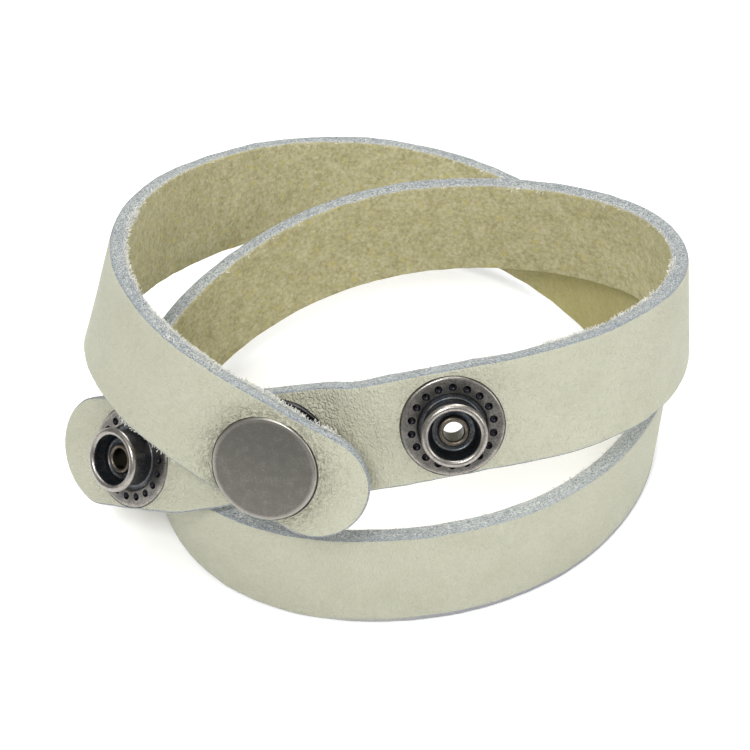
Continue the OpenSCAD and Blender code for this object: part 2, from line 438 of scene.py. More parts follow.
# Leather's own cloudiness: two tones in soft patches with a finer grain of the same tones over them
mottle, get, put = look_group("leather_mottle", {
    "Place": ("Vector", (0, 0, 0)),
    "Light Tone": ("Color", (1, 1, 1, 1)), "Dark Tone": ("Color", (0, 0, 0, 1)),
    "Patch Scale": ("Float", 1.0), "Fine Scale": ("Float", 10.0), "Fine Share": ("Float", 0.5),
}, {"Color": "Color", "Height": "Float"})
patches = ramp(mottle, noise(mottle, get["Place"], get["Patch Scale"], 3.0, 0.55), 0.3, 0.7)
fine = ramp(mottle, noise(mottle, get["Place"], get["Fine Scale"], 4.0, 0.6), 0.3, 0.7)
blend = add(mottle, "ShaderNodeMix", {0: get["Fine Share"], 2: patches, 3: fine}).outputs[0]
mottle.links.new(colour_mix(mottle, blend, get["Dark Tone"], get["Light Tone"]), put["Color"])
mottle.links.new(blend, put["Height"])


def strip_place(tree):
    """Place on the flat strip, in millimetres, which the wound strap carries as an attribute."""
    place = add(tree, "ShaderNodeAttribute", attribute_name="flat_place").outputs["Vector"]
    return vector_calc(tree, "SCALE", place, 1000.0)


# Grain side: pale cream finish with a fine pebble and a few soft creases across the strap
cream_grain, tree, shader = new_material("cream_grain", Roughness=0.52)
shader["Specular IOR Level"].default_value = 0.35
at = strip_place(tree)
tone = shared(tree, mottle, {
    "Place": at, "Light Tone": paint(187, 187, 169), "Dark Tone": paint(176, 176, 156),
    "Patch Scale": 0.16, "Fine Scale": 1.6, "Fine Share": 0.4,
})
shake = add(tree, "ShaderNodeTexNoise", {"Vector": at, "Scale": 1.5, "Detail": 2.0}).outputs["Color"]
bent = vector_calc(tree, "ADD", at, vector_calc(tree, "SCALE", shake, 0.5))
cell_place = add(tree, "ShaderNodeMapping", {
    "Vector": bent, "Rotation": (0.0, 0.0, 0.6), "Scale": (4.6, 3.0, 3.2),
}).outputs["Vector"]
cells = add(tree, "ShaderNodeTexVoronoi", {"Vector": cell_place, "Scale": 1.0, "Randomness": 1.0},
            feature="SMOOTH_F1").outputs["Distance"]
soft = ramp(tree, noise(tree, at, 4.0, 3.0, 0.6), 0.3, 0.7)
round_top = ramp(tree, cells, 0.2, 0.55, 1.0, 0.0)
pebble = times(tree, calc(tree, "ADD", round_top, soft), 0.5)
stretched = add(tree, "ShaderNodeMapping", {"Vector": at, "Scale": (1.3, 0.35, 1.0)}).outputs["Vector"]
crease = ramp(tree, noise(tree, stretched, 1.0, 4.0, 0.6, 0.6), 0.35, 0.65)
# Worked harder close to the metal and round the middle stud, where it is pressed and bent at every use
from_metal = mark(tree, "from_metal")
split = add(tree, "ShaderNodeSeparateXYZ", {0: at}).outputs
run, rise = split["X"], split["Y"]
near_middle = times(tree, ramp(tree, run, 30.0, 36.0), ramp(tree, run, 47.0, 37.0, 0.0, 0.9),
                    ramp(tree, from_metal, 8.0 * MM, 1.0 * MM))
by_snap = ramp(tree, run, 400.0, 410.0, 0.15, 1.0)
worked = times(tree, ramp(tree, from_metal, 0.3 * MM, 4.0 * MM, 0.7, 0.0), by_snap)
worked = calc(tree, "MAXIMUM", worked, near_middle)
# Short creases that run round the metal, in relief and with painted shade in them
round_metal = add(tree, "ShaderNodeCombineXYZ", {
    "X": times(tree, run, 1.5), "Y": times(tree, rise, 1.5), "Z": times(tree, from_metal, 3.6 / MM),
}).outputs["Vector"]
pinch = times(tree, ramp(tree, noise(tree, round_metal, 1.0, 2.0, 0.6), 0.52, 0.38),
              ramp(tree, from_metal, 0.3 * MM, 2.2 * MM, 1.0, 0.0), by_snap)
height = calc(tree, "ADD", pebble, times(tree, crease, calc(tree, "ADD", worked, 0.25)))
height = calc(tree, "ADD", height, times(tree, round_top, worked, 0.95))
height = calc(tree, "SUBTRACT", height, pinch)
# Painted shade: the grain's grooves are darkened, more where the leather is worked
groove_shade = times(tree, ramp(tree, pebble, 0.58, 0.36), calc(tree, "ADD", times(tree, worked, 0.2), 0.06))
# Painted light: the grain round the middle stud is lightened to make up for the shade that the snap end casts
# there
fill_lit = colour_mix(tree, times(tree, near_middle, 0.6), tone["Color"], paint(206, 206, 188))
groove_shaded = colour_mix(tree, groove_shade, fill_lit, paint(144, 137, 104))
# Painted shade in the short creases round the metal
crease_shaded = colour_mix(tree, times(tree, pinch, 0.35), groove_shaded, paint(104, 100, 78))
# The edge dye laps over the low corner of the low turn
low_turn = times(tree, ramp(tree, run, 218.0, 232.0), ramp(tree, run, 282.0, 276.0))
lapped = times(tree, low_turn, ramp(tree, rise, -5.68, -5.78))
dyed_corner = colour_mix(tree, times(tree, lapped, 0.9), crease_shaded, paint(146, 147, 156))
tree.links.new(dyed_corner, shader["Base Color"])
tree.links.new(ramp(tree, pebble, 0.0, 1.0, 0.6, 0.48), shader["Roughness"])
tree.links.new(bumped(tree, height, 1.0, 0.17 * MM), shader["Normal"])

# Suede side: open yellow-olive nap, brushed into lighter and darker tufts
open_suede, tree, shader = new_material("open_suede", Roughness=0.95)
shader["Specular IOR Level"].default_value = 0.1
shader["Sheen Weight"].default_value = 0.25
shader["Sheen Roughness"].default_value = 0.5
shader["Sheen Tint"].default_value = paint(226, 222, 186)
at = strip_place(tree)
tone = shared(tree, mottle, {
    "Place": at, "Light Tone": paint(197, 192, 159), "Dark Tone": paint(139, 133, 94),
    "Patch Scale": 0.5, "Fine Scale": 2.3, "Fine Share": 0.7,
})
yellow = ramp(tree, noise(tree, at, 0.9, 3.0, 0.6), 0.56, 0.7, 0.0, 0.7)
nap_tone = colour_mix(tree, yellow, tone["Color"], paint(182, 171, 105))
# Painted shade: the suede on the right side of the low turn is darkened where the turns around it shade it
run = add(tree, "ShaderNodeSeparateXYZ", {0: at}).outputs["X"]
suede_shade = times(tree, ramp(tree, run, 262, 272, 0.0, 0.75), ramp(tree, run, 318, 300))
tree.links.new(colour_mix(tree, suede_shade, nap_tone, paint(152, 144, 92)), shader["Base Color"])
tuft = noise(tree, at, 3.2, 4.0, 0.65)
height = calc(tree, "ADD", tone["Height"], tuft)
tree.links.new(bumped(tree, height, 0.7, 0.16 * MM), shader["Normal"])

# Cut edge: blue-grey edge dye, worn through in light fibrous specks
dyed_edge, tree, shader = new_material("dyed_edge", Roughness=0.8)
shader["Specular IOR Level"].default_value = 0.2
at = strip_place(tree)
tone = shared(tree, mottle, {
    "Place": at, "Light Tone": paint(168, 171, 168), "Dark Tone": paint(134, 140, 142),
    "Patch Scale": 0.25, "Fine Scale": 2.2, "Fine Share": 0.5,
})
combed = add(tree, "ShaderNodeMapping", {"Vector": at, "Scale": (1.0, 1.8, 1.8)}).outputs["Vector"]
fleck = noise(tree, combed, 4.4, 3.0, 0.7)
worn = ramp(tree, fleck, 0.52, 0.64)
pit = ramp(tree, noise(tree, combed, 5.0, 2.0, 0.6), 0.49, 0.37)
worn_tone = colour_mix(tree, worn, tone["Color"], paint(205, 208, 204))
pitted = colour_mix(tree, times(tree, pit, 0.8), worn_tone, paint(78, 88, 98))
split = add(tree, "ShaderNodeSeparateXYZ", {0: at}).outputs
run, level = split["X"], split["Z"]
# The dye is darkest by the grain face
bled = times(tree, ramp(tree, level, 0.6, 0.95), 0.4)
dyed = colour_mix(tree, bled, pitted, paint(122, 131, 140))
# The low turn's edge is the palest: worn by the surface and the skin, and with painted light that brightens
# its shaded edge
low_turn = times(tree, ramp(tree, run, 222.0, 236.0), ramp(tree, run, 275.0, 262.0))
worn_and_lit = times(tree, low_turn, ramp(tree, fleck, 0.36, 0.56, 0.0, 0.4))
worn_and_lit_edge = colour_mix(tree, worn_and_lit, dyed, paint(216, 222, 218))
# By the suede face the raw leather shows, most of all on the snap end
by_snap = ramp(tree, run, 398.0, 406.0)
raw_most = ramp(tree, by_snap, 0.0, 1.0, 0.55, 0.95)
raw_share = times(tree, ramp(tree, level, -0.45, -1.0), ramp(tree, fleck, 0.38, 0.6, 0.0, raw_most))
raw_tone = colour_mix(tree, by_snap, paint(206, 205, 194), paint(236, 235, 226))
tree.links.new(colour_mix(tree, raw_share, worn_and_lit_edge, raw_tone), shader["Base Color"])
height = calc(tree, "SUBTRACT", fleck, times(tree, pit, 0.4))
tree.links.new(bumped(tree, height, 0.8, 0.12 * MM), shader["Normal"])

# Winding: the punched strip gets its puckers and nap, and is laid along the stations of the route
winding, get, put = shape_tree("wind_strap", {
    "Punches": ("Object", None), "Route": ("Object", None), "Station Step": ("Float", station_step * MM),
    "Skin": ("Float", skin * MM), "Pucker Height": ("Float", 0.07 * MM), "Pucker Reach": ("Float", 1.6 * MM),
    "Nap Height": ("Float", 0.12 * MM), "Edge Wobble": ("Float", 0.09 * MM),
    "Pared From": ("Float", 1.0), "Pared To": ("Float", 1.0), "Tip": ("Float", 1.0),
    "Pivot": ("Float", 0.4 * MM),
    "Grain": ("Material", None), "Suede": ("Material", None), "Cut Edge": ("Material", None),
})
punched = add(winding, "GeometryNodeObjectInfo", {"Object": get["Punches"]}).outputs["Geometry"]
cut = add(winding, "GeometryNodeMeshBoolean", operation="DIFFERENCE", solver="EXACT")
winding.links.new(get["Geometry"], cut.inputs["Mesh 1"])
winding.links.new(punched, cut.inputs["Mesh 2"])
position = add(winding, "GeometryNodeInputPosition").outputs["Position"]
kept = store(winding, cut.outputs["Mesh"], "flat_place", position, "FLOAT_VECTOR")
near = add(winding, "GeometryNodeProximity", {"Geometry": punched}, target_element="FACES")
kept = store(winding, kept, "from_metal", near.outputs["Distance"])
reaches = calc(winding, "DIVIDE", stored(winding, "from_metal", "FLOAT"), get["Pucker Reach"])
closeness = calc(winding, "EXPONENT", times(winding, reaches, -1.0))
flat = stored(winding, "flat_place")
xyz = add(winding, "ShaderNodeSeparateXYZ", {0: flat}).outputs
on_grain = calc(winding, "GREATER_THAN", xyz["Z"], times(winding, get["Skin"], 0.9))
on_suede = calc(winding, "LESS_THAN", xyz["Z"], times(winding, get["Skin"], -0.93))
lumps = ramp(winding, noise(winding, flat, 700.0, 2.0, 0.5), 0.3, 0.7, -1.0, 1.0)
swell = ramp(winding, noise(winding, flat, 160.0, 1.0, 0.5), 0.3, 0.7, -1.0, 1.0)
pucker = times(winding, lumps, calc(winding, "ADD", closeness, 0.12))
pucker = calc(winding, "ADD", pucker, times(winding, swell, 0.3))
pucker = times(winding, pucker, get["Pucker Height"], on_grain)
nap = ramp(winding, noise(winding, flat, 1100.0, 3.0, 0.6), 0.3, 0.7, -0.7, 0.7)
nap = times(winding, nap, get["Nap Height"], on_suede)
lift = calc(winding, "ADD", pucker, nap)
wobble = ramp(winding, noise(winding, flat, 260.0, 2.0, 0.5), 0.3, 0.7, -1.0, 1.0)
wobble = times(winding, wobble, get["Edge Wobble"], calc(winding, "DIVIDE", xyz["Y"], round_r * MM))
index = calc(winding, "DIVIDE", xyz["X"], get["Station Step"])
lower = calc(winding, "FLOOR", index)
part = calc(winding, "SUBTRACT", index, lower)
route_shape = add(winding, "GeometryNodeObjectInfo", {"Object": get["Route"]}).outputs["Geometry"]


def station_value(field):
    """What the route's two nearest stations hold, weighed by how near they are."""
    ends = []
    for shift in (0.0, 1.0):
        sample = add(winding, "GeometryNodeSampleIndex", {
            "Geometry": route_shape, "Value": field, "Index": calc(winding, "ADD", lower, shift),
        }, data_type="FLOAT_VECTOR", domain="POINT", clamp=True)
        ends.append(sample.outputs["Value"])
    step = vector_calc(winding, "SUBTRACT", ends[1], ends[0])
    return vector_calc(winding, "ADD", ends[0], vector_calc(winding, "SCALE", step, part))


across_way = station_value(stored(winding, "across"))
outward_way = station_value(stored(winding, "outward"))
spread = vector_calc(winding, "SCALE", across_way, calc(winding, "ADD", xyz["Y"], wobble))
# The snap end is pared thinner from the suede side
pared = times(winding, ramp(winding, xyz["X"], get["Pared From"], get["Pared To"], 1.0, 0.6),
              ramp(winding, xyz["X"], get["Pared To"], get["Tip"], 1.0, 0.4))
under_pivot = calc(winding, "MINIMUM", calc(winding, "SUBTRACT", xyz["Z"], get["Pivot"]), 0.0)
pared_off = times(winding, under_pivot, calc(winding, "SUBTRACT", 1.0, pared))
thinned = calc(winding, "SUBTRACT", xyz["Z"], pared_off)
raised = vector_calc(winding, "SCALE", outward_way, calc(winding, "ADD", thinned, lift))
laid = vector_calc(winding, "ADD", station_value(position), vector_calc(winding, "ADD", spread, raised))
wound = add(winding, "GeometryNodeSetPosition", {"Geometry": kept, "Position": laid}).outputs["Geometry"]
wound = add(winding, "GeometryNodeRealizeInstances", {"Geometry": wound}).outputs["Geometry"]
for share, side in ((True, "Cut Edge"), (on_grain, "Grain"), (on_suede, "Suede")):
    wound = add(winding, "GeometryNodeSetMaterial", {
        "Geometry": wound, "Selection": share, "Material": get[side],
    }).outputs["Geometry"]
winding.links.new(wound, put)

strap_mesh = shaped("strap_leather", weld(strip_mesh), winding, {
    "Punches": punches, "Route": route_points, "Station Step": station_step * MM, "Skin": skin * MM,
    "Pared From": (snap_s - 18) * MM, "Pared To": (snap_s + 2) * MM, "Tip": strap_l * MM, "Pivot": 0.4 * MM,
    "Grain": cream_grain, "Suede": open_suede, "Cut Edge": dyed_edge,
})
smooth(strap_mesh, 50)
strap = new_object("strap_leather", strap_mesh)
bpy.data.objects.remove(punches)
bpy.data.objects.remove(route_points)
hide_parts("strap")
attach(strap, "root")

# Edge fray
# Loose leather fibres that the knife left standing out of the cut edge's inner corner, where the dye
# didn't bind them. They are densest by the snap and past the third stud.
frayed_fibre, tree, shader = new_material("frayed_fibre", Roughness=0.9)
shader["Specular IOR Level"].default_value = 0.1
tone = shared(tree, mottle, {
    "Place": strip_place(tree), "Light Tone": paint(238, 238, 230), "Dark Tone": paint(200, 200, 192),
    "Patch Scale": 0.8, "Fine Scale": 4.0, "Fine Share": 0.6,
})
tree.links.new(tone["Color"], shader["Base Color"])

fraying, get, put = shape_tree("fray_edge", {
    "Stretch Start": ("Float", 0.0), "Stretch End": ("Float", 1.0), "Density": ("Float", 1.0),
    "Highest": ("Float", 0.0), "Half Width": ("Float", 0.0), "Patch Size": ("Float", 1.0),
    "Low Edge Share": ("Float", 0.3), "Length": ("Float", 0.0), "Fibre Radius": ("Float", 0.0),
    "Lean": ("Float", 1.0), "Seed": ("Int", 0), "Fibre": ("Material", None),
})
flat = stored(fraying, "flat_place")
xyz = add(fraying, "ShaderNodeSeparateXYZ", {0: flat}).outputs
in_stretch = times(fraying, calc(fraying, "GREATER_THAN", xyz["X"], get["Stretch Start"]),
                   calc(fraying, "LESS_THAN", xyz["X"], get["Stretch End"]))
top_edge = calc(fraying, "GREATER_THAN", xyz["Y"], get["Half Width"])
low_edge = calc(fraying, "LESS_THAN", xyz["Y"], times(fraying, get["Half Width"], -1.0))
in_band = calc(fraying, "ADD", top_edge, times(fraying, low_edge, get["Low Edge Share"]))
in_band = times(fraying, calc(fraying, "LESS_THAN", xyz["Z"], get["Highest"]), in_band, in_stretch)
patchy = noise(fraying, flat, calc(fraying, "DIVIDE", 1.0, get["Patch Size"]), 2.0, 0.6)
patchy = ramp(fraying, patchy, 0.42, 0.62, 0.12, 1.0)
scattered = add(fraying, "GeometryNodeDistributePointsOnFaces", {
    "Mesh": get["Geometry"], "Seed": get["Seed"],
    "Density": times(fraying, in_band, patchy, get["Density"]),
}, distribute_method="RANDOM")
spine = add(fraying, "GeometryNodeCurveQuadraticBezier", {"Resolution": 3})
for label, x, z in (("Start", 0.0, -0.1), ("Middle", 0.05, 0.6), ("End", 0.5, 0.8)):
    reach = add(fraying, "ShaderNodeCombineXYZ", {
        "X": times(fraying, get["Length"], x), "Z": times(fraying, get["Length"], z),
    }).outputs["Vector"]
    fraying.links.new(reach, spine.inputs[label])
round_fibre = add(fraying, "GeometryNodeCurvePrimitiveCircle", {
    "Resolution": 3, "Radius": get["Fibre Radius"],
})
fibre = add(fraying, "GeometryNodeCurveToMesh", {
    "Curve": spine.outputs["Curve"], "Profile Curve": round_fibre.outputs["Curve"], "Fill Caps": True,
}).outputs["Mesh"]


def chance(kind, low, high, shift):
    """A random value for each fibre."""
    node = add(fraying, "FunctionNodeRandomValue", {
        "Seed": calc(fraying, "ADD", get["Seed"], float(shift)),
    }, data_type=kind)
    slots = (0, 1) if kind == "FLOAT_VECTOR" else (2, 3)
    plug(fraying, node.inputs[slots[0]], low)
    plug(fraying, node.inputs[slots[1]], high)
    return node.outputs[0 if kind == "FLOAT_VECTOR" else 1]


stray = vector_calc(fraying, "SCALE", chance("FLOAT_VECTOR", (-1, -1, -1), (1, 1, 1), 1), get["Lean"])
facing = vector_calc(fraying, "ADD", scattered.outputs["Normal"], stray)
stood = add(fraying, "FunctionNodeAlignRotationToVector", {"Vector": facing}, axis="Z").outputs["Rotation"]
spin = add(fraying, "FunctionNodeAxisAngleToRotation", {
    "Axis": (0, 0, 1), "Angle": chance("FLOAT", 0.0, 2 * math.pi, 2),
}).outputs["Rotation"]
turned_round = add(fraying, "FunctionNodeRotateRotation", {
    "Rotation": stood, "Rotate By": spin,
}, rotation_space="LOCAL").outputs["Rotation"]
fibres = add(fraying, "GeometryNodeInstanceOnPoints", {
    "Points": scattered.outputs["Points"], "Instance": fibre, "Rotation": turned_round,
    "Scale": chance("FLOAT", 0.35, 1.0, 3),
}).outputs["Instances"]
fibres = add(fraying, "GeometryNodeRealizeInstances", {"Geometry": fibres}).outputs["Geometry"]
fraying.links.new(add(fraying, "GeometryNodeSetMaterial", {
    "Geometry": fibres, "Material": get["Fibre"],
}).outputs["Geometry"], put)

# Frayed stretches in millimetres: from and to along the strap, fibres to the square millimetre, the low
# edge's share of them, the highest level on the cut edge that has any, and their length
fray_shell = bmesh.new()
fray_stretches = (
    (378, 404, 55, 0.15, -0.6, 0.5),
    (404, 418, 90, 0.0, -0.6, 0.4),
    (418, 430, 150, 0.0, -0.6, 0.65),
    (406, 415, 20, 1.0, 1.0, 0.5),
    (64, 92, 75, 0.15, -0.6, 0.5),
    (0, 432, 6, 0.0, -0.6, 0.5),
)
for number, (start, end, dense, low, highest, long) in enumerate(fray_stretches):
    tufts = shaped("edge_tufts", strap_mesh, fraying, {
        "Stretch Start": start * MM, "Stretch End": end * MM, "Density": dense / MM ** 2,
        "Highest": highest * MM, "Half Width": (round_r - 0.25) * MM, "Patch Size": 4 * MM,
        "Low Edge Share": low, "Length": long * MM, "Fibre Radius": 0.05 * MM,
        "Lean": 0.9, "Seed": 4 + number, "Fibre": frayed_fibre,
    })
    fray_shell.from_mesh(tufts)
fray_mesh = bpy.data.meshes.new("edge_fray")
fray_shell.to_mesh(fray_mesh)
fray_shell.free()
fray_mesh.materials.append(frayed_fibre)
fray_mesh.shade_smooth()
fray = new_object("edge_fray", fray_mesh)
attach(fray, "root")

# Snap studs
# Three pressed sheet-metal studs. Each has a flange with a ring of round dimples and a drawn collar
# whose rim is rolled outward; the plating is antiqued, dark in the hollows and bright on the rims, with a
# painted highlight on the step round the collar. The covered stud is darkened all over as painted shade.
plate_sink = 0.4
flange_t = 0.6
floor_h = 1.1
collar_h = 3.3
plate_z = skin - plate_sink
face_z = plate_z + flange_t
floor_z = face_z + floor_h
rim_z = face_z + collar_h


def arc(centre, radius, start, end, steps=8):
    """Points of a round stretch of an outline, from one angle to another."""
    turns = np.radians(np.linspace(start, end, steps + 1))
    return [(centre[0] + radius * math.cos(a), centre[1] + radius * math.sin(a)) for a in turns]


def on_strap(mesh, spot):
    """Put a piece on the strap's grain side, with its own Z pointing outward."""
    p, h, w, n = spot
    p = (p + home) * MM
    mesh.transform(Matrix((
        (h[0], w[0], n[0], p[0]), (h[1], w[1], n[1], p[1]), (h[2], w[2], n[2], p[2]), (0, 0, 0, 1),
    )))
    return mesh


# Antiqued plating: a mottle from a dark tone over a middle one to a bright one, the brighter the more
# the metal is worn or the stronger the painted highlight marked on it
plating, get, put = look_group("antique_plating", {
    "Place": ("Vector", (0, 0, 0)),
    "Dark Tone": ("Color", (0, 0, 0, 1)), "Mid Tone": ("Color", (0, 0, 0, 1)),
    "Bright Tone": ("Color", (1, 1, 1, 1)), "Wear And Highlight": ("Float", 0.5), "Speckle Scale": ("Float", 4.0),
    "Mottle": ("Float", 1.0),
}, {"Color": "Color", "Roughness": "Float", "Height": "Float"})
cloud = ramp(plating, noise(plating, get["Place"], 0.9, 3.0, 0.6), 0.3, 0.7, -0.12, 0.12)
speckle = noise(plating, get["Place"], get["Speckle Scale"], 3.0, 0.7)
uneven = calc(plating, "ADD", cloud, ramp(plating, speckle, 0.3, 0.7, -0.2, 0.2))
wear = calc(plating, "ADD", get["Wear And Highlight"], times(plating, uneven, get["Mottle"]))
dim = colour_mix(plating, ramp(plating, wear, 0.0, 0.5), get["Dark Tone"], get["Mid Tone"])
lit = colour_mix(plating, ramp(plating, wear, 0.5, 1.0), dim, get["Bright Tone"])
plating.links.new(lit, put["Color"])
plating.links.new(ramp(plating, wear, 0.0, 0.8, 0.42, 0.3), put["Roughness"])
plating.links.new(speckle, put["Height"])


def metal_place(tree):
    """Place in the part's frame, in millimetres."""
    place = add(tree, "ShaderNodeTexCoord").outputs["Object"]
    return vector_calc(tree, "SCALE", place, 1000.0)


gunmetal, tree, shader = new_material("antique_gunmetal", Metallic=1.0)
finish = shared(tree, plating, {
    "Place": metal_place(tree), "Dark Tone": paint(58, 68, 79), "Mid Tone": paint(118, 115, 110),
    "Bright Tone": paint(166, 161, 154), "Wear And Highlight": mark(tree, "wear"), "Speckle Scale": 5.5, "Mottle": 1.5,
})
# The darkening mark is dark patina in the dimples, and painted shade over the whole covered stud
tree.links.new(colour_mix(tree, mark(tree, "soot"), finish["Color"], paint(38, 38, 43)), shader["Base Color"])
tree.links.new(finish["Roughness"], shader["Roughness"])
tree.links.new(bumped(tree, finish["Height"], 0.25, 0.03 * MM), shader["Normal"])

hem_r = 0.45
hem_at = (3.35, rim_z - hem_r)
stud_outline = (
    [(hole_r, plate_z)] + arc((flange_r - 0.3, plate_z + 0.3), 0.3, -90, 90)
    + [(5.45, face_z), (4.14, face_z), (4.06, face_z - 0.03), (4.0, face_z - 0.1), (3.93, face_z - 0.27),
       (3.86, face_z - 0.33), (3.76, face_z - 0.36)]
    + arc((3.45, face_z - 0.16), 0.2, 270, 180, 4) + [(3.25, 2.2), (3.25, rim_z - 1.1)]
    + arc(hem_at, hem_r, -60, 180, 20)
    + [(2.86, rim_z - 0.8), (2.78, rim_z - 1.2), (2.66, floor_z + 0.6), (2.6, floor_z + 0.45)]
    + arc((2.24, floor_z + 0.34), 0.34, 0, -90, 6) + [(hole_r, floor_z)]
)


def wear_and_highlight_of(outline):
    """How bright the plating is at each point of the outline: the rolled rim worn most, a painted highlight
    on the step round the collar, and the hollows darkest.
    """
    wear = []
    for r, z in outline:
        if z > hem_at[1] - 0.3 and r > 2.95:
            wear.append(0.85)
        elif r > flange_r - 0.45:
            wear.append(0.7)
        elif r > 4.1:
            wear.append(0.55)
        # Painted highlight: the step round the collar is made bright
        elif r > 3.9:
            wear.append(0.72)
        elif r > 3.1:
            wear.append(0.22)
        elif z < floor_z + 0.1:
            wear.append(0.2)
        elif z < floor_z + 0.4:
            wear.append(0.3)
        else:
            wear.append(0.12)
    return wear


# Dimples: a ring of small round punches cut out of the flange
dimpling, get, put = shape_tree("dimple_flange", {
    "Dimples": ("Int", 18), "Ring Radius": ("Float", 4.72 * MM), "Dimple Width": ("Float", 0.92 * MM),
    "Dimple Depth": ("Float", 0.3 * MM), "Face": ("Float", face_z * MM), "Face Wear": ("Float", 0.55),
    "Metal": ("Material", None),
})
circle = add(dimpling, "GeometryNodeMeshCircle", {"Vertices": get["Dimples"], "Radius": get["Ring Radius"]})
half_width = times(dimpling, get["Dimple Width"], 0.5)
drill_radius = times(dimpling, half_width, 1.12)
drill = add(dimpling, "GeometryNodeMeshUVSphere", {
    "Segments": 20, "Rings": 14, "Radius": drill_radius,
}).outputs["Mesh"]
height = calc(dimpling, "ADD", get["Face"], calc(dimpling, "SUBTRACT", drill_radius, get["Dimple Depth"]))
lifted = add(dimpling, "GeometryNodeSetPosition", {
    "Geometry": circle.outputs["Mesh"],
    "Offset": add(dimpling, "ShaderNodeCombineXYZ", {"Z": height}).outputs["Vector"],
}).outputs["Geometry"]
drills = add(dimpling, "GeometryNodeInstanceOnPoints", {
    "Points": lifted, "Instance": drill,
}).outputs["Instances"]
drills = add(dimpling, "GeometryNodeRealizeInstances", {"Geometry": drills}).outputs["Geometry"]
cut = add(dimpling, "GeometryNodeMeshBoolean", operation="DIFFERENCE", solver="EXACT")
dimpling.links.new(get["Geometry"], cut.inputs["Mesh 1"])
dimpling.links.new(drills, cut.inputs["Mesh 2"])
spot_place = add(dimpling, "GeometryNodeInputPosition").outputs["Position"]
spot = add(dimpling, "ShaderNodeSeparateXYZ", {0: spot_place}).outputs
below = calc(dimpling, "LESS_THAN", spot["Z"], calc(dimpling, "SUBTRACT", get["Face"], 0.02 * MM))
flat_spot = add(dimpling, "ShaderNodeCombineXYZ", {"X": spot["X"], "Y": spot["Y"]}).outputs["Vector"]
from_ring = add(dimpling, "ShaderNodeVectorMath", {0: flat_spot}, operation="LENGTH").outputs["Value"]
from_ring = calc(dimpling, "ABSOLUTE", calc(dimpling, "SUBTRACT", from_ring, get["Ring Radius"]))
sunk = times(dimpling, below, calc(dimpling, "LESS_THAN", from_ring, half_width))
above_plate = calc(dimpling, "GREATER_THAN", spot["Z"], times(dimpling, get["Face"], 0.6))
near_ring = calc(dimpling, "LESS_THAN", from_ring, times(dimpling, half_width, 1.1))
level = calc(dimpling, "GREATER_THAN", spot["Z"], calc(dimpling, "SUBTRACT", get["Face"], 0.001 * MM))
on_face = times(dimpling, near_ring, level)
evened = store(dimpling, cut.outputs["Mesh"], "wear", get["Face Wear"], only=on_face)
whole = store(dimpling, evened, "soot", times(dimpling, sunk, above_plate), domain="FACE")
whole = add(dimpling, "GeometryNodeRealizeInstances", {"Geometry": whole}).outputs["Geometry"]
dimpling.links.new(add(dimpling, "GeometryNodeSetMaterial", {
    "Geometry": whole, "Material": get["Metal"],
}).outputs["Geometry"], put)

stud_blank = turned("stud_blank", stud_outline, 144, {"wear": wear_and_highlight_of(stud_outline)})
stud_shape = shaped("stud_shape", stud_blank, dimpling, {
    "Dimples": 18, "Ring Radius": 4.72 * MM, "Dimple Width": 0.92 * MM, "Dimple Depth": 0.3 * MM,
    "Face": face_z * MM, "Face Wear": 0.55, "Metal": gunmetal,
})
smooth(stud_shape)
for number, spot in enumerate(stud_frames, 1):
    stud = new_object(f"stud_{number}_dimpled", on_strap(stud_shape.copy(), spot))
    if number == 2:
        # Painted shade: the covered stud lies in the shadow between the two ends, so its plating is darkened
        # all over
        stud.data.attributes["soot"].data.foreach_set("value", np.full(len(stud.data.polygons), 0.85))
    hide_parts(f"stud_{number}")
    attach(stud, "root")

# Hollow rivets
# A thin brass tube through leather and stud, with a ring on the suede side. Its end is rolled over
# inside the collar, which holds the stud on, and its hole goes right through.
back_sink = 0.175
back_z = back_sink - skin
curl_r = 0.33
curl_at = (1.5, floor_z + 0.08 + curl_r)
rivet_outline = (
    [(1.45, back_z + 0.3), (1.48, back_z), (1.6, back_z - 0.3), (1.85, back_z - 0.5)]
    + arc((ring_r - 0.25, back_z - 0.25), 0.25, -90, 90)
    + [(1.65, back_z), (1.62, curl_at[1] - curl_r)]
    + arc(curl_at, curl_r, -60, 195, 14) + [(1.2, curl_at[1] - 0.2)]
)
rivet_wear = [0.36 if z > curl_at[1] + 0.1 else 0.1 if r < 1.4 else 0.4 for r, z in rivet_outline]
# Painted shade: the inside of the hole and the flare below it are darkened
rivet_shade = [0.9 if r < 1.7 and z < curl_at[1] - 0.1 else 0.0 for r, z in rivet_outline]
worn_brass, tree, shader = new_material("worn_brass", Metallic=1.0)
finish = shared(tree, plating, {
    "Place": metal_place(tree), "Dark Tone": paint(60, 56, 49), "Mid Tone": paint(112, 104, 93),
    "Bright Tone": paint(176, 168, 154), "Wear And Highlight": mark(tree, "wear"), "Speckle Scale": 6.0, "Mottle": 1.2,
})
# The darkening mark is painted shade inside the hole
tree.links.new(colour_mix(tree, mark(tree, "soot"), finish["Color"], paint(30, 28, 23)), shader["Base Color"])
tree.links.new(finish["Roughness"], shader["Roughness"])
tree.links.new(bumped(tree, finish["Height"], 0.3, 0.03 * MM), shader["Normal"])
rivet_shape = turned("rivet_shape", rivet_outline, 72, {"wear": rivet_wear, "soot": rivet_shade})
rivet_shape.materials.append(worn_brass)
smooth(rivet_shape)
for number, spot in enumerate(stud_frames, 1):
    rivet = new_object(f"rivet_{number}_rolled", on_strap(rivet_shape.copy(), spot))
    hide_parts(f"rivet_{number}")
    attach(rivet, "root")

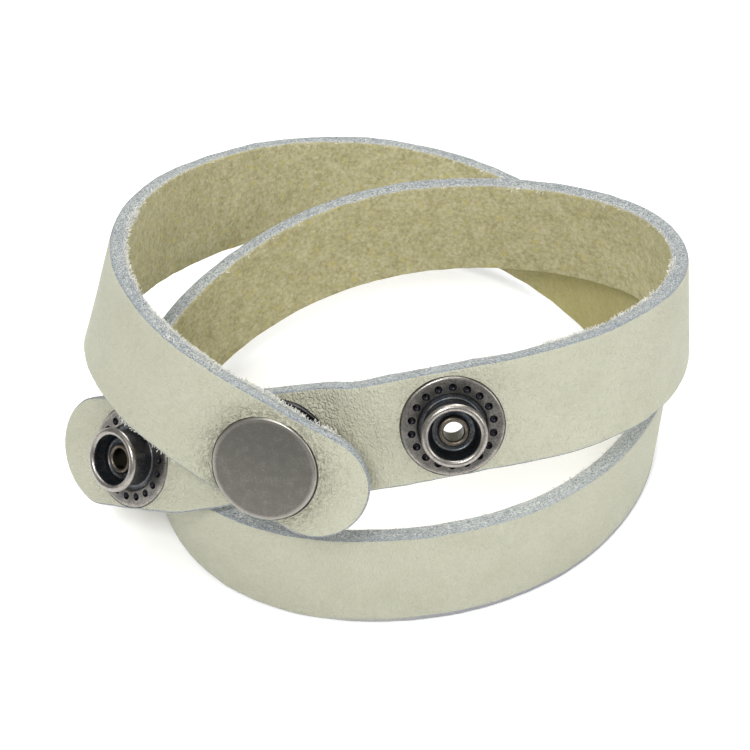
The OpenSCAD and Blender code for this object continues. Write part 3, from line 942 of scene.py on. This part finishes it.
# Snap cap
# A flat round cap of plated sheet metal on the grain side of the other end, brushed to a warm satin
# grey. Its post goes through the leather and is spread inside the socket.
satin, tree, shader = new_material("satin_cap", Metallic=1.0)
finish = shared(tree, plating, {
    "Place": metal_place(tree), "Dark Tone": paint(84, 82, 77), "Mid Tone": paint(108, 106, 100),
    "Bright Tone": paint(172, 168, 160), "Wear And Highlight": mark(tree, "wear"), "Speckle Scale": 6.0, "Mottle": 0.4,
})
tree.links.new(finish["Color"], shader["Base Color"])
tree.links.new(ramp(tree, finish["Roughness"], 0.3, 0.34, 0.32, 0.43), shader["Roughness"])
tree.links.new(bumped(tree, finish["Height"], 0.2, 0.02 * MM), shader["Normal"])
cap_t = 0.9
head_z = back_z - 0.7
cap_top = plate_z + cap_t
cap_outline = (
    [(0, head_z - 0.2)] + arc((2.3, head_z), 0.2, -90, 90, 6) + [(1.7, head_z + 0.2), (1.7, plate_z)]
    + arc((cap_r - 0.25, plate_z + 0.25), 0.25, -90, 0, 5)
    + arc((cap_r - 0.3, cap_top - 0.6), 0.3, 0, 84, 12)
    + [(r, cap_top - 0.28 * (r / 5.7) ** 2) for r in (5.6, 5.2, 4.6, 4, 3, 2, 1, 0)]
)
cap_wear = [0.78 if r > cap_r - 0.4 and z > plate_z + 0.2 else 0.5 for r, z in cap_outline]
cap_shape = turned("cap_shape", cap_outline, 144, {"wear": cap_wear})
cap_shape.materials.append(satin)
smooth(cap_shape)
cap = new_object("snap_cap_satin", on_strap(cap_shape, snap_frame))
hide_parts("snap_cap")
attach(cap, "root")

# Snap socket
# The spring cup behind the cap, which closes over the middle stud's rolled rim. Its flat back lies
# on the suede and its mouth is turned inward.
lid_z = back_z - 0.4
# The strap's end is pared here, and the cup's back reaches up to it
pared_back = -0.35
foot_gap = 0.3
foot_z = face_z - leather_t - snap_gap + foot_gap
mouth_r, lip_r = 4.0, 0.4
socket_outline = (
    [(hole_r, lid_z), (mouth_r, lid_z), (mouth_r, foot_z + lip_r)]
    + arc((mouth_r + lip_r, foot_z + lip_r), lip_r, 180, 270, 6)
    + arc((cup_r - 2 * lip_r, foot_z + lip_r), lip_r, -90, 0, 6)
    + [(cup_r - 0.35, lid_z - 0.25), (cup_r - 0.1, lid_z)]
    + arc((cup_r - 0.2, pared_back - 0.2), 0.2, 0, 90, 5) + [(hole_r, pared_back)]
)
socket_wear = [0.75 if z < foot_z + lip_r or r > cup_r - 0.3 else 0.4 for r, z in socket_outline]
socket_shape = turned("socket_shape", socket_outline, 96, {"wear": socket_wear})
socket_shape.materials.append(gunmetal)
smooth(socket_shape)
socket = new_object("snap_socket_cup", on_strap(socket_shape, snap_frame))
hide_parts("snap_socket")
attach(socket, "root")

# Floor and light
# A plain pale light table that the bracelet lies on, under large soft boxes in a bright room.
floor_half = 3.0
floor_corners = [(x * floor_half, y * floor_half, 0) for x, y in ((-1, -1), (1, -1), (1, 1), (-1, 1))]
floor_mesh = new_mesh("floor", floor_corners, [(0, 1, 2, 3)])
pale, tree, shader = new_material("pale_table", Roughness=0.9, Emission_Strength=0.15)
shader["Specular IOR Level"].default_value = 0.1
shader["Emission Color"].default_value = (1, 1, 1, 1)
at = add(tree, "ShaderNodeTexCoord").outputs["Object"]
tree.links.new(colour_mix(tree, noise(tree, at, 30.0, 2.0), paint(248, 248, 248), paint(251, 251, 251)),
               shader["Base Color"])
floor_mesh.materials.append(pale)
table = new_object("table", floor_mesh)

world = bpy.data.worlds.new("bright_room")
world.use_nodes = True
background = next(n for n in world.node_tree.nodes if n.type == "BACKGROUND")
room = world.node_tree
view_way = add(room, "ShaderNodeTexCoord").outputs["Generated"]
view_up = add(room, "ShaderNodeSeparateXYZ", {0: view_way}).outputs["Z"]
room.links.new(colour_mix(room, ramp(room, view_up, 0.0, 0.8), (0.42, 0.42, 0.42, 1), (1, 1, 1, 1)),
               background.inputs["Color"])
background.inputs["Strength"].default_value = 0.6
bpy.context.scene.world = world


lamp_aim = Vector((0, 0, 0.015))


def soft_box(name, place, size, power):
    """A square soft box in metres and watts that points at the bracelet."""
    lamp = bpy.data.lights.new(name, "AREA")
    lamp.shape = "SQUARE"
    lamp.size = size
    lamp.energy = power
    box = bpy.data.objects.new(name, lamp)
    box.location = place
    box.rotation_euler = (lamp_aim - Vector(place)).to_track_quat("-Z", "Y").to_euler()
    bpy.context.scene.collection.objects.link(box)


soft_box("soft_box_left", (-0.22, -0.55, 0.75), 0.28, 5.0)
soft_box("soft_box_right", (0.65, -0.4, 0.4), 0.4, 1.9)
soft_box("soft_box_top", (0.0, 0.25, 0.9), 0.6, 4.2)
soft_box("soft_box_back", (0.2, 0.75, 0.5), 0.4, 3.0)

bpy.context.scene.view_settings.view_transform = "Standard"
bpy.context.scene.view_settings.look = "None"
